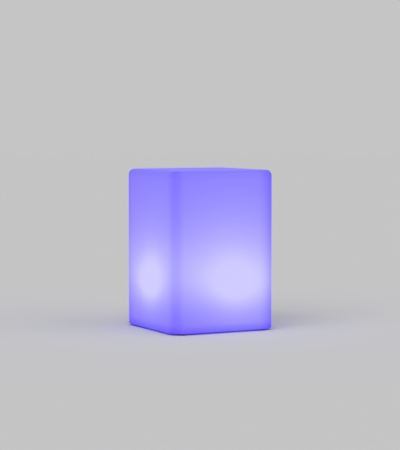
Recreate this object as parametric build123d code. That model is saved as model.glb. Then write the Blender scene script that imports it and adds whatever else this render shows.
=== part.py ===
from build123d import *
import math
import os

# Portable table lamp for outdoor use: a square moulded shade over a sealed, rechargeable light module.
# Millimetres, +Z up. The origin is on the table, under the middle of the lamp.

# Shade, rotation moulded in one piece and open only at a round neck in its floor
BODY_WIDTH = 100.0
SHADE_HEIGHT = 138.5
SHADE_WALL = 3.0
CORNER_RADIUS = 12.0
TOP_EDGE_RADIUS = 5.0
BOTTOM_EDGE_RADIUS = 0.6
INNER_EDGE_MINIMUM = 0.5

# Soft feet, pressed into sockets at the corners of the shade's floor
FOOT_DIAMETER = 11.0
FOOT_PROUD = 1.5
FOOT_SOCKET_DEPTH = 0.8
FOOT_EDGE_RADIUS = 0.4
FOOT_CLEARANCE = 0.1

# Screws that hold the module in the shade, and the brass threads that they turn into
BASE_SCREW_COUNT = 4
BASE_SCREW_FIRST_ANGLE = 45.0
BASE_SCREW_DIAMETER = 3.0
BASE_SCREW_HEAD_DIAMETER = 5.6
BASE_SCREW_HEAD_HEIGHT = 1.7
BASE_SCREW_HEAD_SINK = 0.3
BASE_SCREW_ENGAGEMENT = 5.0
INSERT_DIAMETER = 4.6
INSERT_LENGTH = 6.0
INSERT_BOSS_WALL = 1.2
INSERT_BOSS_ROOF = 2.0

# Fits that all screws share
SCREW_HOLE_CLEARANCE = 0.2
SCREW_HEAD_CLEARANCE = 0.3
THREAD_CLEARANCE = 0.03
CROSS_SLOT_WIDTH = 0.7
CROSS_SLOT_SHARE = 0.6
CROSS_SLOT_DEPTH_SHARE = 0.55
SCREW_HEAD_EDGE = 0.4

# Small screws inside the module
SMALL_SCREW_DIAMETER = 2.4
SMALL_SCREW_HEAD_DIAMETER = 4.4
SMALL_SCREW_HEAD_HEIGHT = 1.6
SMALL_SCREW_ENGAGEMENT = 4.0
PILOT_SPARE_DEPTH = 0.5

# Bottom cover and the two flat seals of the module
COVER_THICKNESS = 3.2
COVER_INSET = 0.5
COVER_EDGE_CHAMFER = 0.6
COVER_CLEARANCE = 0.5
COVER_RIM_WALL = 1.5
COVER_RIM_HEIGHT = 2.0
COVER_RIM_CLEARANCE = 0.3
COVER_GASKET_THICKNESS = 0.8
BASE_GASKET_THICKNESS = 1.0
MODULE_CLEARANCE = 0.5

# Push button with its ring seal, and the switch above it
BUTTON_X = -15.0
BUTTON_DIAMETER = 13.0
BUTTON_CLEARANCE = 0.2
BUTTON_FLANGE_WIDTH = 1.5
BUTTON_FLANGE_THICKNESS = 0.9
BUTTON_EDGE_RADIUS = 0.5
BUTTON_DISH_DIAMETER = 9.0
BUTTON_DISH_DEPTH = 0.5
BUTTON_TRAVEL = 0.6
BUTTON_RING_SECTION = 1.2
RING_SEAL_CLEARANCE = 0.05
SWITCH_WIDTH = 6.0
SWITCH_HEIGHT = 3.5
SWITCH_GAP = 0.5
PLUNGER_DIAMETER = 3.4
PLUNGER_ENGAGEMENT = 1.2
PLUNGER_CLEARANCE = 0.1
PLUNGER_END_GAP = 0.3

# Charging socket, its soft flap and the recess that the flap closes
PORT_X = 12.0
SOCKET_LENGTH = 9.0
SOCKET_WIDTH = 3.3
SOCKET_WALL = 0.4
SOCKET_BACK = 1.2
SOCKET_CLEARANCE = 0.25
TONGUE_LENGTH = 6.6
TONGUE_THICKNESS = 0.7
TONGUE_RECESS = 1.2
FLAP_WIDTH = 9.4
FLAP_REACH = 20.0
FLAP_THICKNESS = 1.6
FLAP_INSET = 0.4
FLAP_TIP_RADIUS = 3.0
FLAP_HINGE_Y = 10.0
FLAP_CLEARANCE = 0.3
FLAP_HINGE_GAP = 0.6
FLAP_SEAT_GAP = 0.2
FLAP_PLUG_HEIGHT = 0.9
FLAP_PLUG_CLEARANCE = 0.5
FLAP_STUB_DIAMETER = 1.2
FLAP_STUB_LENGTH = 1.2
FLAP_STUB_CLEARANCE = 0.05
FLAP_STUB_END_GAP = 0.1
NAIL_NOTCH_RADIUS = 4.0

# Charging light on the board and the clear pin that carries it down to the cover
PIPE_Y = -13.0
PIPE_DIAMETER = 3.0
PIPE_CLEARANCE = 0.1
PIPE_FLANGE_WIDTH = 0.9
PIPE_FLANGE_THICKNESS = 0.8
PIPE_END_GAP = 0.3
CHARGE_LED_LENGTH = 2.0
CHARGE_LED_WIDTH = 1.25
CHARGE_LED_HEIGHT = 0.8

# Control board on the cover's posts
BOARD_THICKNESS = 1.2
BOARD_CLEARANCE = 2.0
BOARD_SCREW_COUNT = 3
BOARD_SCREW_FIRST_ANGLE = 90.0
BOARD_SCREW_INSET = 5.0
POST_DIAMETER = 5.4

# Controller, charger, coil and two capacitors on the control board
CHIP_HEIGHT = 1.7
CHIP_HEADROOM = 0.4
CHIP_GAP = 2.0
CONTROLLER_LENGTH = 10.0
CONTROLLER_WIDTH = 6.0
CONTROLLER_X = 10.0
CONTROLLER_Y = -2.0
CHARGER_LENGTH = 5.0
CHARGER_WIDTH = 4.0
CHARGER_X = -9.0
CHARGER_Y = 3.0
COIL_WIDTH = 6.0
COIL_HEIGHT = 3.0
COIL_X = -14.0
COIL_Y = 13.0
CAPACITOR_LENGTH = 3.2
CAPACITOR_WIDTH = 1.6

# Rechargeable cell, 18 mm by 50 mm class, its sleeve, tabs, pad and clamp
CELL_DIAMETER = 18.2
CELL_LENGTH = 49.5
SLEEVE_THICKNESS = 0.25
SLEEVE_CLEARANCE = 0.02
SLEEVE_LIP = 2.0
TAB_THICKNESS = 0.2
TAB_WIDTH = 6.0
TAB_HEIGHT = 10.0
CLAMP_THICKNESS = 1.5
CLAMP_WIDTH = 14.0
CLAMP_FIT = 0.1
CLAMP_EAR_LENGTH = 7.0
CLAMP_BOSS_DIAMETER = 6.0
CLAMP_BOSS_LENGTH = 6.0
PAD_THICKNESS = 1.0
PAD_LENGTH = 36.0
PAD_WIDTH = 8.0
PAD_FIT = 0.05
CELL_END_GAP = 1.6

# Plugs and leads inside the housing
CONNECTOR_WIDTH = 9.0
CONNECTOR_DEPTH = 5.0
CONNECTOR_HEIGHT = 6.5
CONNECTOR_GAP = 1.5
LED_CONNECTOR_X = 14.0
LEAD_DIAMETER = 1.3
LEAD_TAB_GAP = 0.25
LEAD_ARC_SHARE = 0.4
LEAD_SPACING = 2.0
LEAD_LOOP_HEIGHT = 4.0
LEAD_CORNER_HEIGHT = 0.8
LEAD_TURN_X = 12.0
LED_LEAD_COUNT = 4
LED_LEAD_BOW_DEPTH = 3.0
LEAD_SLOT_CLEARANCE = 1.0

# Housing of the module, a hat with a brim that the base screws clamp
HOUSING_WALL = 2.0
BRIM_THICKNESS = 2.0
PLATE_THICKNESS = 2.0
DOME_SEAT_DEPTH = 4.0

# Light board with its lights and white reflector, and the frosted dome over them
LED_BOARD_THICKNESS = 1.6
LED_BOARD_MARGIN = 2.3
LED_SCREW_COUNT = 3
LED_SCREW_FIRST_ANGLE = 75.0
LED_SCREW_INSET = 3.2
LED_WIDTH = 5.0
LED_HEIGHT = 1.6
LED_LENS_DIAMETER = 4.0
LED_LENS_DEPTH = 0.3
LED_OUTER_COUNT = 12
LED_OUTER_RADIUS = 18.5
LED_INNER_COUNT = 4
LED_INNER_RADIUS = 7.0
REFLECTOR_THICKNESS = 0.5
REFLECTOR_MARGIN = 0.5
REFLECTOR_CLEARANCE = 0.3
DOME_WALL = 1.6
DOME_CLEARANCE = 0.15
DOME_RISE = 13.0
DOME_EDGE_RADIUS = 9.0
DOME_SEAL_SECTION = 0.9

# Levels from the table up
SHADE_BOTTOM = FOOT_PROUD
COVER_BOTTOM = SHADE_BOTTOM + COVER_INSET
COVER_TOP = COVER_BOTTOM + COVER_THICKNESS
BRIM_BOTTOM = COVER_TOP + COVER_GASKET_THICKNESS
BRIM_TOP = BRIM_BOTTOM + BRIM_THICKNESS
SEAT_LEVEL = BRIM_TOP + BASE_GASKET_THICKNESS
BUTTON_TOP = COVER_TOP + BUTTON_FLANGE_THICKNESS
SWITCH_BOTTOM = BUTTON_TOP + BUTTON_TRAVEL + SWITCH_GAP
BOARD_BOTTOM = SWITCH_BOTTOM + SWITCH_HEIGHT
BOARD_TOP = BOARD_BOTTOM + BOARD_THICKNESS
CLAMP_BOTTOM = BOARD_TOP + CHIP_HEIGHT + CHIP_HEADROOM
CELL_OUTER_RADIUS = CELL_DIAMETER / 2 + SLEEVE_CLEARANCE + SLEEVE_THICKNESS
CLAMP_INNER_RADIUS = CELL_OUTER_RADIUS + CLAMP_FIT
CLAMP_OUTER_RADIUS = CLAMP_INNER_RADIUS + CLAMP_THICKNESS
CELL_LEVEL = CLAMP_BOTTOM + CLAMP_OUTER_RADIUS
PLATE_BOTTOM = CELL_LEVEL + CELL_OUTER_RADIUS + PAD_THICKNESS
PLATE_TOP = PLATE_BOTTOM + PLATE_THICKNESS
SHOULDER_LEVEL = PLATE_TOP - DOME_SEAT_DEPTH
LED_BOARD_TOP = PLATE_TOP + LED_BOARD_THICKNESS
DOME_TOP = PLATE_TOP + DOME_RISE
CONNECTOR_TOP = BOARD_TOP + CONNECTOR_HEIGHT
CLAMP_EAR_TOP = PLATE_BOTTOM - CLAMP_BOSS_LENGTH
CLAMP_EAR_BOTTOM = CLAMP_EAR_TOP - CLAMP_THICKNESS
FLAP_BOTTOM = COVER_BOTTOM + FLAP_INSET
FLAP_TOP = FLAP_BOTTOM + FLAP_THICKNESS
FLAP_HINGE_LEVEL = FLAP_BOTTOM + FLAP_THICKNESS / 2
PORT_RECESS_TOP = FLAP_TOP + FLAP_SEAT_GAP

# Radii from the cell outwards
CELL_END = CELL_LENGTH / 2 + SLEEVE_CLEARANCE + SLEEVE_THICKNESS
STEP_INNER_RADIUS = math.hypot(CELL_END, CELL_OUTER_RADIUS) + CELL_END_GAP
STEP_RADIUS = STEP_INNER_RADIUS + HOUSING_WALL
DOME_INNER_RADIUS = STEP_RADIUS + DOME_CLEARANCE
MODULE_RADIUS = DOME_INNER_RADIUS + DOME_WALL
HOUSING_INNER_RADIUS = MODULE_RADIUS - HOUSING_WALL
NECK_RADIUS = MODULE_RADIUS + MODULE_CLEARANCE
INSERT_BOSS_RADIUS = INSERT_DIAMETER / 2 + INSERT_BOSS_WALL
BASE_SCREW_RADIUS = NECK_RADIUS + INSERT_BOSS_RADIUS
COVER_RADIUS = BASE_SCREW_RADIUS + INSERT_BOSS_RADIUS
RECESS_RADIUS = COVER_RADIUS + COVER_CLEARANCE
RIM_RADIUS = HOUSING_INNER_RADIUS - COVER_RIM_CLEARANCE
BOARD_RADIUS = HOUSING_INNER_RADIUS - BOARD_CLEARANCE
BOARD_SCREW_RADIUS = BOARD_RADIUS - BOARD_SCREW_INSET
LED_BOARD_RADIUS = STEP_RADIUS - LED_BOARD_MARGIN
LED_SCREW_RADIUS = LED_BOARD_RADIUS - LED_SCREW_INSET
BUTTON_HOLE_RADIUS = BUTTON_DIAMETER / 2 + BUTTON_CLEARANCE

# Places in plan
CONNECTOR_Y = CLAMP_OUTER_RADIUS + CONNECTOR_GAP + CONNECTOR_DEPTH / 2
CLAMP_SCREW_Y = CLAMP_OUTER_RADIUS + CLAMP_EAR_LENGTH / 2
TAB_FACE_X = CELL_LENGTH / 2 + TAB_THICKNESS
CORNER_REACH = math.sqrt(2) * (BODY_WIDTH / 2 - CORNER_RADIUS) + CORNER_RADIUS
FOOT_REACH = (RECESS_RADIUS + SHADE_WALL + CORNER_REACH - BOTTOM_EDGE_RADIUS) / 2

BASE_MIDDLE = (Align.CENTER, Align.CENTER, Align.MIN)


def disc(radius, bottom, top):
    """Round solid on the lamp's axis, between two levels."""
    return Pos(0, 0, bottom) * Cylinder(radius, top - bottom, align=BASE_MIDDLE)


def ring(outer_radius, inner_radius, bottom, top):
    """Flat-ended ring on the lamp's axis, between two levels."""
    return disc(outer_radius, bottom, top) - disc(inner_radius, bottom, top)


def block(width, depth, bottom, top):
    """Rectangular solid centred on the lamp's axis, between two levels."""
    return Pos(0, 0, bottom) * Box(width, depth, top - bottom, align=BASE_MIDDLE)


def around(radius, count, first_angle=0.0):
    """Places spaced evenly on a circle about the lamp's axis."""
    return PolarLocations(radius, count, start_angle=first_angle)


def crosswise(radius, length):
    """Round bar along X, centred on the origin."""
    return Rot(0, 90, 0) * Cylinder(radius, length)


def base_screw_places():
    return around(BASE_SCREW_RADIUS, BASE_SCREW_COUNT, BASE_SCREW_FIRST_ANGLE)


def board_screw_places():
    return around(BOARD_SCREW_RADIUS, BOARD_SCREW_COUNT, BOARD_SCREW_FIRST_ANGLE)


def led_screw_places():
    return around(LED_SCREW_RADIUS, LED_SCREW_COUNT, LED_SCREW_FIRST_ANGLE)


def foot_places():
    return around(FOOT_REACH, 4, 45.0)


def clamp_screw_places():
    return [Pos(0, side * CLAMP_SCREW_Y, 0) for side in (-1, 1)]


def led_places():
    """The lights stand on two circles, each turned to face the axis."""
    outer = list(around(LED_OUTER_RADIUS, LED_OUTER_COUNT))
    inner = list(around(LED_INNER_RADIUS, LED_INNER_COUNT, 45.0))
    return outer + inner


def spread(shape, places):
    """Separate copies of a shape, one at each place, as one group."""
    return Compound(children=[place * shape for place in places])


def cross_screw(head_diameter, head_height, shank_diameter, length):
    """Cross-head screw that points up, with the underside of its head at level 0."""
    head = disc(head_diameter / 2, -head_height, 0)
    edge = min(SCREW_HEAD_EDGE, head_height / 3)
    head = fillet(head.edges().group_by(Axis.Z)[0], edge)
    slot_length = head_diameter * CROSS_SLOT_SHARE
    slot_top = -head_height * (1 - CROSS_SLOT_DEPTH_SHARE)
    for width, depth in ((slot_length, CROSS_SLOT_WIDTH), (CROSS_SLOT_WIDTH, slot_length)):
        head -= block(width, depth, -head_height, slot_top)
    return head + disc(shank_diameter / 2, 0, length)


def small_screw(grip):
    """Screw of the module's inside, through a piece as thick as its grip."""
    length = grip + SMALL_SCREW_ENGAGEMENT
    return cross_screw(SMALL_SCREW_HEAD_DIAMETER, SMALL_SCREW_HEAD_HEIGHT, SMALL_SCREW_DIAMETER, length)


def pilot_hole(mouth, direction):
    """Hole that a small screw bites into, from its mouth up or down."""
    depth = SMALL_SCREW_ENGAGEMENT + PILOT_SPARE_DEPTH
    end = mouth + direction * depth
    return disc(SMALL_SCREW_DIAMETER / 2 + THREAD_CLEARANCE, min(mouth, end), max(mouth, end))


def small_screw_hole(bottom, top):
    return disc(SMALL_SCREW_DIAMETER / 2 + SCREW_HOLE_CLEARANCE, bottom, top)


def base_screw_hole(bottom, top):
    return disc(BASE_SCREW_DIAMETER / 2 + SCREW_HOLE_CLEARANCE, bottom, top)


def shade_shell():
    """Square prism of even wall, with a raised round seat in its floor for the module."""
    plan = RectangleRounded(BODY_WIDTH, BODY_WIDTH, CORNER_RADIUS)
    outside = Pos(0, 0, SHADE_BOTTOM) * extrude(plan, SHADE_HEIGHT)
    outside = fillet(outside.edges().group_by(Axis.Z)[-1], TOP_EDGE_RADIUS)
    outside = fillet(outside.edges().group_by(Axis.Z)[0], BOTTOM_EDGE_RADIUS)

    inner_width = BODY_WIDTH - 2 * SHADE_WALL
    inner_plan = RectangleRounded(inner_width, inner_width, CORNER_RADIUS - SHADE_WALL)
    inside = Pos(0, 0, SHADE_BOTTOM + SHADE_WALL) * extrude(inner_plan, SHADE_HEIGHT - 2 * SHADE_WALL)
    inner_edge = max(TOP_EDGE_RADIUS - SHADE_WALL, INNER_EDGE_MINIMUM)
    inside = fillet(inside.edges().group_by(Axis.Z)[-1], inner_edge)
    inside -= disc(RECESS_RADIUS + SHADE_WALL, SHADE_BOTTOM, SEAT_LEVEL + SHADE_WALL)
    boss_top = SEAT_LEVEL + INSERT_LENGTH + INSERT_BOSS_ROOF
    for place in base_screw_places():
        inside -= place * disc(INSERT_BOSS_RADIUS, SEAT_LEVEL, boss_top)

    shell = outside - inside
    shell -= disc(RECESS_RADIUS, SHADE_BOTTOM, SEAT_LEVEL)
    shell -= disc(NECK_RADIUS, SEAT_LEVEL, boss_top)
    for place in base_screw_places():
        shell -= place * disc(INSERT_DIAMETER / 2 + THREAD_CLEARANCE, SEAT_LEVEL, SEAT_LEVEL + INSERT_LENGTH)
    for place in foot_places():
        socket = disc(FOOT_DIAMETER / 2 + FOOT_CLEARANCE, SHADE_BOTTOM, SHADE_BOTTOM + FOOT_SOCKET_DEPTH)
        shell -= place * socket
    return shell


def foot_pads():
    """Round soft feet with an eased lower edge."""
    foot = disc(FOOT_DIAMETER / 2, 0, SHADE_BOTTOM + FOOT_SOCKET_DEPTH)
    foot = fillet(foot.edges().group_by(Axis.Z)[0], min(FOOT_EDGE_RADIUS, FOOT_PROUD / 3))
    return spread(foot, foot_places())


def insert_nuts():
    """Brass threads in the bosses of the shade's floor."""
    bore = BASE_SCREW_DIAMETER / 2 + THREAD_CLEARANCE
    nut = ring(INSERT_DIAMETER / 2, bore, SEAT_LEVEL, SEAT_LEVEL + INSERT_LENGTH)
    return spread(nut, base_screw_places())


def base_gasket():
    """Flat ring between the module's brim and the shade's seat."""
    gasket = ring(COVER_RADIUS, NECK_RADIUS, BRIM_TOP, SEAT_LEVEL)
    for place in base_screw_places():
        gasket -= place * base_screw_hole(BRIM_TOP, SEAT_LEVEL)
    return gasket


def cover_gasket():
    """Flat ring between the bottom cover and the module's brim."""
    gasket = ring(COVER_RADIUS, HOUSING_INNER_RADIUS, COVER_TOP, BRIM_BOTTOM)
    for place in base_screw_places():
        gasket -= place * base_screw_hole(COVER_TOP, BRIM_BOTTOM)
    return gasket


def base_screws():
    """Long screws through cover, seals and brim into the brass threads."""
    head_seat = COVER_BOTTOM + BASE_SCREW_HEAD_SINK + BASE_SCREW_HEAD_HEIGHT
    length = SEAT_LEVEL + BASE_SCREW_ENGAGEMENT - head_seat
    screw = cross_screw(BASE_SCREW_HEAD_DIAMETER, BASE_SCREW_HEAD_HEIGHT, BASE_SCREW_DIAMETER, length)
    return spread(Pos(0, 0, head_seat) * screw, base_screw_places())


def flap_outline(clearance, hinge_end):
    """Plan of the flap or of its recess: square at the hinge, rounded at the free end."""
    width = FLAP_WIDTH + 2 * clearance
    tip = FLAP_HINGE_Y - FLAP_REACH - clearance
    outline = Pos(PORT_X, tip, 0) * Rectangle(width, hinge_end - tip, align=(Align.CENTER, Align.MIN))
    return fillet(outline.vertices().group_by(Axis.Y)[0], FLAP_TIP_RADIUS + clearance)


def socket_outline(growth):
    """Plan of the charging socket, a slot with round ends along Y, made larger by a growth all round."""
    length = SOCKET_LENGTH + 2 * growth
    width = SOCKET_WIDTH + 2 * growth
    return Pos(PORT_X, 0, 0) * SlotOverall(length, width, rotation=90)


def port_recess():
    """Space cut in the cover for the flap, its stubs, a fingernail and the socket."""
    hinge_end = FLAP_HINGE_Y + FLAP_THICKNESS / 2 + FLAP_HINGE_GAP
    depth = PORT_RECESS_TOP - COVER_BOTTOM
    recess = Pos(0, 0, COVER_BOTTOM) * extrude(flap_outline(FLAP_CLEARANCE, hinge_end), depth)
    notch = disc(NAIL_NOTCH_RADIUS, COVER_BOTTOM, PORT_RECESS_TOP)
    recess += Pos(PORT_X, FLAP_HINGE_Y - FLAP_REACH, 0) * notch
    stub_length = FLAP_WIDTH + 2 * FLAP_STUB_LENGTH + 2 * FLAP_STUB_END_GAP
    stub_hole = crosswise(FLAP_STUB_DIAMETER / 2 + FLAP_STUB_CLEARANCE, stub_length)
    recess += Pos(PORT_X, FLAP_HINGE_Y, FLAP_HINGE_LEVEL) * stub_hole
    slot = extrude(socket_outline(SOCKET_CLEARANCE), COVER_TOP - PORT_RECESS_TOP)
    return recess + Pos(0, 0, PORT_RECESS_TOP) * slot


def base_cover():
    """Round bottom cover with a centring rim and board posts inside."""
    cover = disc(COVER_RADIUS, COVER_BOTTOM, COVER_TOP)
    cover = chamfer(cover.edges().group_by(Axis.Z)[0], COVER_EDGE_CHAMFER)
    cover += ring(RIM_RADIUS, RIM_RADIUS - COVER_RIM_WALL, COVER_TOP, BRIM_BOTTOM + COVER_RIM_HEIGHT)
    post = disc(POST_DIAMETER / 2, COVER_TOP, BOARD_BOTTOM) - pilot_hole(BOARD_BOTTOM, -1)
    for place in board_screw_places():
        cover += place * post
    head_seat = COVER_BOTTOM + BASE_SCREW_HEAD_SINK + BASE_SCREW_HEAD_HEIGHT
    counterbore = disc(BASE_SCREW_HEAD_DIAMETER / 2 + SCREW_HEAD_CLEARANCE, COVER_BOTTOM, head_seat)
    for place in base_screw_places():
        cover -= place * (counterbore + base_screw_hole(COVER_BOTTOM, COVER_TOP))
    cover -= Pos(BUTTON_X, 0, 0) * disc(BUTTON_HOLE_RADIUS, COVER_BOTTOM, COVER_TOP)
    cover -= Pos(0, PIPE_Y, 0) * disc(PIPE_DIAMETER / 2 + PIPE_CLEARANCE, COVER_BOTTOM, COVER_TOP)
    return cover - port_recess()


def power_button():
    """Round cap that fills its hole in the cover, with a dished face and a flange that keeps it in."""
    radius = BUTTON_DIAMETER / 2
    cap = disc(radius, COVER_BOTTOM, COVER_TOP)
    cap = fillet(cap.edges().group_by(Axis.Z)[0], BUTTON_EDGE_RADIUS)
    dish_radius = BUTTON_DISH_DIAMETER / 2
    dish_sphere = (dish_radius ** 2 + BUTTON_DISH_DEPTH ** 2) / (2 * BUTTON_DISH_DEPTH)
    cap -= Pos(0, 0, COVER_BOTTOM + BUTTON_DISH_DEPTH - dish_sphere) * Sphere(dish_sphere)
    cap += disc(BUTTON_HOLE_RADIUS + BUTTON_FLANGE_WIDTH, COVER_TOP, BUTTON_TOP)
    groove_floor = BUTTON_HOLE_RADIUS - BUTTON_RING_SECTION - 2 * RING_SEAL_CLEARANCE
    middle = (COVER_BOTTOM + COVER_TOP) / 2
    half_height = BUTTON_RING_SECTION / 2 + RING_SEAL_CLEARANCE
    cap -= ring(radius, groove_floor, middle - half_height, middle + half_height)
    return Pos(BUTTON_X, 0, 0) * cap


def button_o_ring():
    """Ring seal in the button's groove, sliding in the cover's hole."""
    section = BUTTON_RING_SECTION / 2
    seal = Torus(BUTTON_HOLE_RADIUS - RING_SEAL_CLEARANCE - section, section)
    return Pos(BUTTON_X, 0, (COVER_BOTTOM + COVER_TOP) / 2) * seal


def switch_plunger():
    """Stem of the switch, standing on the button and reaching into the switch."""
    plunger = disc(PLUNGER_DIAMETER / 2, BUTTON_TOP, SWITCH_BOTTOM + PLUNGER_ENGAGEMENT)
    return Pos(BUTTON_X, 0, 0) * plunger


def push_switch():
    """Square switch under the board, bored for its plunger."""
    body = block(SWITCH_WIDTH, SWITCH_WIDTH, SWITCH_BOTTOM, BOARD_BOTTOM)
    bore_top = SWITCH_BOTTOM + PLUNGER_ENGAGEMENT + BUTTON_TRAVEL + PLUNGER_END_GAP
    body -= disc(PLUNGER_DIAMETER / 2 + PLUNGER_CLEARANCE, SWITCH_BOTTOM, bore_top)
    return Pos(BUTTON_X, 0, 0) * body


def port_flap():
    """Soft flap with a half-round hinge edge, two stubs and a low plug that enters the socket's mouth."""
    flap = Pos(0, 0, FLAP_BOTTOM) * extrude(flap_outline(0.0, FLAP_HINGE_Y), FLAP_THICKNESS)
    hinge = crosswise(FLAP_THICKNESS / 2, FLAP_WIDTH)
    hinge += crosswise(FLAP_STUB_DIAMETER / 2, FLAP_WIDTH + 2 * FLAP_STUB_LENGTH)
    flap += Pos(PORT_X, FLAP_HINGE_Y, FLAP_HINGE_LEVEL) * hinge
    plug = extrude(socket_outline(-SOCKET_WALL - FLAP_PLUG_CLEARANCE), FLAP_PLUG_HEIGHT)
    return flap + Pos(0, 0, FLAP_TOP) * plug


def charge_socket():
    """Pressed metal shell of the charging socket, closed at the board."""
    shell = extrude(socket_outline(0.0), BOARD_BOTTOM - PORT_RECESS_TOP)
    hollow = extrude(socket_outline(-SOCKET_WALL), BOARD_BOTTOM - SOCKET_BACK - PORT_RECESS_TOP)
    return Pos(0, 0, PORT_RECESS_TOP) * (shell - hollow)


def charge_tongue():
    """Contact tongue inside the socket, set back from its mouth."""
    tip = PORT_RECESS_TOP + TONGUE_RECESS
    tongue = block(TONGUE_THICKNESS, TONGUE_LENGTH, tip, BOARD_BOTTOM - SOCKET_BACK)
    return Pos(PORT_X, 0, 0) * tongue


def charge_led():
    """Charging light under the board."""
    led = block(CHARGE_LED_LENGTH, CHARGE_LED_WIDTH, BOARD_BOTTOM - CHARGE_LED_HEIGHT, BOARD_BOTTOM)
    return Pos(0, PIPE_Y, 0) * led


def charge_light_pipe():
    """Clear pin from the charging light to the cover's face, held by its flange."""
    pipe = disc(PIPE_DIAMETER / 2, COVER_BOTTOM, BOARD_BOTTOM - CHARGE_LED_HEIGHT - PIPE_END_GAP)
    pipe += disc(PIPE_DIAMETER / 2 + PIPE_FLANGE_WIDTH, COVER_TOP, COVER_TOP + PIPE_FLANGE_THICKNESS)
    return Pos(0, PIPE_Y, 0) * pipe


def control_board():
    """Round circuit board with its screw holes."""
    board = disc(BOARD_RADIUS, BOARD_BOTTOM, BOARD_TOP)
    for place in board_screw_places():
        board -= place * small_screw_hole(BOARD_BOTTOM, BOARD_TOP)
    return board


def control_chips():
    """Controller, charger, coil and two capacitors on the board's upper side."""
    chip_top = BOARD_TOP + CHIP_HEIGHT
    controller = block(CONTROLLER_LENGTH, CONTROLLER_WIDTH, BOARD_TOP, chip_top)
    charger = block(CHARGER_LENGTH, CHARGER_WIDTH, BOARD_TOP, chip_top)
    coil = block(COIL_WIDTH, COIL_WIDTH, BOARD_TOP, BOARD_TOP + COIL_HEIGHT)
    capacitor = block(CAPACITOR_LENGTH, CAPACITOR_WIDTH, BOARD_TOP, chip_top)
    front_y = CHARGER_Y - CHARGER_WIDTH / 2 - CHIP_GAP - CAPACITOR_WIDTH / 2
    left_x = CHARGER_X - CHARGER_LENGTH / 2 - CHIP_GAP - CAPACITOR_WIDTH / 2
    return Compound(
        children=[
            Pos(CONTROLLER_X, CONTROLLER_Y, 0) * controller,
            Pos(CHARGER_X, CHARGER_Y, 0) * charger,
            Pos(COIL_X, COIL_Y, 0) * coil,
            Pos(CHARGER_X, front_y, 0) * capacitor,
            Pos(left_x, CHARGER_Y, 0) * Rot(0, 0, 90) * capacitor,
        ]
    )


def board_screws():
    """Screws that hold the board on the cover's posts."""
    screw = Pos(0, 0, BOARD_TOP) * Rot(180, 0, 0) * small_screw(BOARD_THICKNESS)
    return spread(screw, board_screw_places())


def along_cell(shape):
    """Turns a shape made about the vertical to lie along the cell, at the cell's level."""
    return Pos(0, 0, CELL_LEVEL) * Rot(0, 90, 0) * shape


def battery_cell():
    """Steel can of the cell, lying across the housing."""
    radius = CELL_DIAMETER / 2
    return along_cell(disc(radius, -CELL_LENGTH / 2, CELL_LENGTH / 2))


def battery_sleeve():
    """Shrunk sleeve round the can, drawn over the rim of both ends."""
    bare_radius = CELL_DIAMETER / 2 + SLEEVE_CLEARANCE
    bare_end = CELL_LENGTH / 2 + SLEEVE_CLEARANCE
    sleeve = disc(CELL_OUTER_RADIUS, -CELL_END, CELL_END)
    sleeve -= disc(bare_radius, -bare_end, bare_end)
    sleeve -= disc(bare_radius - SLEEVE_LIP, -CELL_END, CELL_END)
    return along_cell(sleeve)


def battery_tabs():
    """Welded strips on both ends of the can."""
    strip = Box(TAB_THICKNESS, TAB_WIDTH, TAB_HEIGHT)
    middle = TAB_FACE_X - TAB_THICKNESS / 2
    return Compound(children=[Pos(side * middle, 0, CELL_LEVEL) * strip for side in (-1, 1)])


def battery_pad():
    """Foam strip between the cell and the housing's plate, cut to the cell's curve below."""
    pad = block(PAD_LENGTH, PAD_WIDTH, CELL_LEVEL, PLATE_BOTTOM)
    return pad - along_cell(disc(CELL_OUTER_RADIUS + PAD_FIT, -CELL_END, CELL_END))


def battery_clamp():
    """Strap under the cell with an ear on each side, screwed to the housing's bosses."""
    reach = CLAMP_EAR_TOP - CELL_LEVEL
    strap = along_cell(disc(CLAMP_OUTER_RADIUS, -CLAMP_WIDTH / 2, CLAMP_WIDTH / 2))
    strap -= block(CLAMP_WIDTH, 2 * CLAMP_OUTER_RADIUS, CELL_LEVEL, CELL_LEVEL + CLAMP_OUTER_RADIUS)
    strap += block(CLAMP_WIDTH, 2 * CLAMP_OUTER_RADIUS, CELL_LEVEL, CELL_LEVEL + reach)
    ears_width = 2 * (CLAMP_OUTER_RADIUS + CLAMP_EAR_LENGTH)
    strap += block(CLAMP_WIDTH, ears_width, CLAMP_EAR_BOTTOM, CLAMP_EAR_TOP)
    strap -= along_cell(disc(CLAMP_INNER_RADIUS, -CLAMP_WIDTH / 2, CLAMP_WIDTH / 2))
    strap -= block(CLAMP_WIDTH, 2 * CLAMP_INNER_RADIUS, CELL_LEVEL, CLAMP_EAR_TOP)
    for place in clamp_screw_places():
        strap -= place * small_screw_hole(CLAMP_EAR_BOTTOM, CLAMP_EAR_TOP)
    return strap


def clamp_screws():
    """Screws from below, through the clamp's ears into the housing's bosses."""
    screw = Pos(0, 0, CLAMP_EAR_BOTTOM) * small_screw(CLAMP_THICKNESS)
    return spread(screw, clamp_screw_places())


def connector():
    """Plug in its header on the board."""
    return block(CONNECTOR_WIDTH, CONNECTOR_DEPTH, BOARD_TOP, CONNECTOR_TOP)


def battery_connector():
    return Pos(0, -CONNECTOR_Y, 0) * connector()


def led_connector():
    return Pos(LED_CONNECTOR_X, CONNECTOR_Y, 0) * connector()


def lead(points):
    """Insulated wire along straight runs joined by arcs as large as the runs allow."""
    route = [Vector(*point) for point in points]
    radii = []
    for before, corner, after in zip(route, route[1:], route[2:]):
        turn = math.radians((corner - before).get_angle(after - corner))
        shorter = min((corner - before).length, (after - corner).length)
        radii.append(LEAD_ARC_SHARE * shorter / math.tan(turn / 2))
    path = FilletPolyline(*route, radius=radii)
    section = Plane(origin=route[0], z_dir=route[1] - route[0]) * Circle(LEAD_DIAMETER / 2)
    return sweep(section, path=path)


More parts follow.
